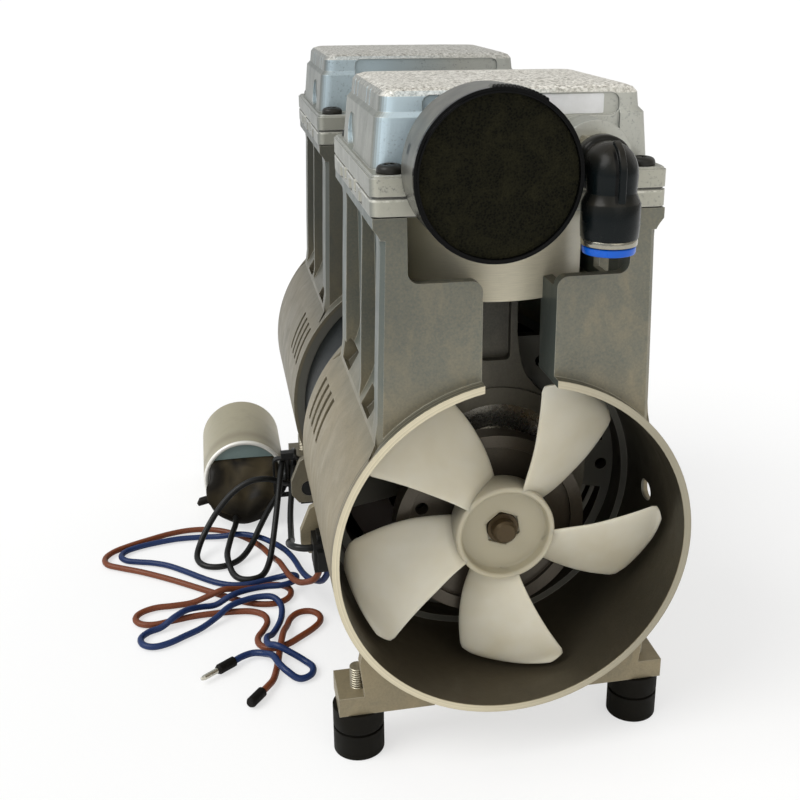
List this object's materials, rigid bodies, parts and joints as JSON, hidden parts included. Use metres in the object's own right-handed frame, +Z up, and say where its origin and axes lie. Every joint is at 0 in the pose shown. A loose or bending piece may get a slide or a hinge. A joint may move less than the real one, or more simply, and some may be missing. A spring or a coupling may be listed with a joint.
{
  "type": "twin-cylinder vacuum pump",
  "caption": "Oil-free piston vacuum pump with an open drum and a bladed fan at each end, upright cylinders, an intake muffler, a push-in elbow, rubber feet and loose leads.",
  "frame": {"origin": "centre of the four foot threads on the floor, under the middle of the motor", "axes": "+X to the right seen from the muffler end, +Y back along the shaft from the muffler end, +Z up"},
  "size_m": [0.2354, 0.3162, 0.257],
  "materials": {
    "cast_body": "as-cast aluminium, matt, slightly blotchy",
    "laminations": "dark varnished steel laminations",
    "enamel_wire": "varnished copper wire",
    "rotor_iron": "turned steel laminations",
    "shaft_steel": "turned steel with light brown staining",
    "bearing_steel": "ground bearing steel",
    "grey_iron": "cast iron with a turned rim",
    "rod_casting": "die-cast aluminium, matt",
    "seal_ptfe": "filled PTFE",
    "zinc_steel": "bright zinc-plated steel",
    "reed_steel": "polished spring steel",
    "sleeve_aluminium": "satin turned aluminium",
    "seal_rubber": "black rubber",
    "head_casting": "die-cast aluminium, bright, sandy on top",
    "black_screws": "black oxide steel",
    "fan_nylon": "translucent white nylon",
    "foot_rubber": "black rubber, matt",
    "muffler_black": "glossy black moulding",
    "muffler_foam": "dark open-cell filter foam",
    "nickel_brass": "nickel-plated brass",
    "fitting_black": "black moulding, half gloss",
    "clear_ring": "bright grip ring",
    "release_blue": "blue moulding",
    "tube_aluminium": "drawn tube",
    "can_metal": "pale can, half gloss",
    "boot_black": "black soft boot",
    "gland_black": "black moulding",
    "lead_black": "black insulation",
    "lead_brown": "brown insulation",
    "lead_blue": "blue insulation",
    "sleeve_black": "black shrink sleeve",
    "pin_tin": "tinned pin"
  },
  "bodies": {
    "frame": {"front_crankcase": "cast_body", "rear_crankcase": "cast_body", "front_bearing_web": "cast_body", "rear_bearing_web": "cast_body", "stator_core": "laminations", "stator_windings": "enamel_wire", "front_main_bearing": "bearing_steel", "rear_main_bearing": "bearing_steel", "front_cylinder_sleeve": "sleeve_aluminium", "rear_cylinder_sleeve": "sleeve_aluminium", "front_sleeve_seal": "seal_rubber", "rear_sleeve_seal": "seal_rubber", "front_valve_plate": "head_casting", "rear_valve_plate": "head_casting", "front_reed_valves": "reed_steel", "rear_reed_valves": "reed_steel", "front_head": "head_casting", "rear_head": "head_casting", "front_head_screws": "black_screws", "rear_head_screws": "black_screws", "through_bolts": "zinc_steel", "through_bolt_nuts": "zinc_steel", "rubber_feet": "foot_rubber", "foot_inserts": "zinc_steel", "foot_studs": "zinc_steel", "muffler_body": "muffler_black", "muffler_foam": "muffler_foam", "elbow_nipple": "nickel_brass", "crossover_tubes": "tube_aluminium", "lead_glands": "gland_black", "capacitor_can": "can_metal", "capacitor_boot": "boot_black", "brown_lead": "lead_brown", "blue_lead": "lead_blue", "capacitor_lead": "lead_black", "cable_tie": "lead_black", "brown_terminal_sleeve": "sleeve_black", "blue_terminal_sleeve": "sleeve_black", "blue_terminal_pin": "pin_tin"},
    "shaft": {"drive_shaft": "shaft_steel", "rotor_core": "rotor_iron", "front_eccentric": "grey_iron", "rear_eccentric": "grey_iron", "front_fan": "fan_nylon", "rear_fan": "fan_nylon"},
    "front_rod": {"front_connecting_rod": "rod_casting", "front_crank_bearing": "bearing_steel"},
    "rear_rod": {"rear_connecting_rod": "rod_casting", "rear_crank_bearing": "bearing_steel"},
    "front_piston_body": {"front_piston": "rod_casting", "front_piston_seal": "seal_ptfe", "front_seal_retainer": "zinc_steel"},
    "rear_piston_body": {"rear_piston": "rod_casting", "rear_piston_seal": "seal_ptfe", "rear_seal_retainer": "zinc_steel"},
    "elbow": {"elbow_body": "fitting_black", "elbow_grip_ring": "clear_ring"},
    "release": {"release_ring": "release_blue"}
  },
  "joints": [
    {"name": "shaft_spin", "type": "hinge", "parent": "frame", "child": "shaft", "pos_m": [0, 0, 0.09], "axis": [0, 1, 0], "continuous": true},
    {"name": "front_rod_turn", "type": "hinge", "parent": "shaft", "child": "front_rod", "pos_m": [0.00325, -0.082, 0.09893], "axis": [0, 1, 0], "continuous": true},
    {"name": "rear_rod_turn", "type": "hinge", "parent": "shaft", "child": "rear_rod", "pos_m": [-0.00325, 0.082, 0.08107], "axis": [0, 1, 0], "continuous": true},
    {"name": "front_piston_stroke", "type": "slide", "parent": "frame", "child": "front_piston_body", "axis": [0, 0, 1], "range_m": [-0.01843, 0.00057]},
    {"name": "rear_piston_stroke", "type": "slide", "parent": "frame", "child": "rear_piston_body", "axis": [0, 0, 1], "range_m": [-0.00057, 0.01843]},
    {"name": "elbow_swivel", "type": "hinge", "parent": "frame", "child": "elbow", "pos_m": [0.024, -0.15, 0.231], "axis": [0, 1, 0], "range_deg": [-170, 0]},
    {"name": "release_ring_press", "type": "slide", "parent": "elbow", "child": "release", "axis": [0, 0, 1], "range_m": [0, 0.0015], "stiffness_N_per_m": 300}
  ],
  "couplings": [
    {"joint": "front_rod_turn", "follows": "shaft_spin", "ratio": -1},
    {"joint": "rear_rod_turn", "follows": "shaft_spin", "ratio": -1}
  ]
}
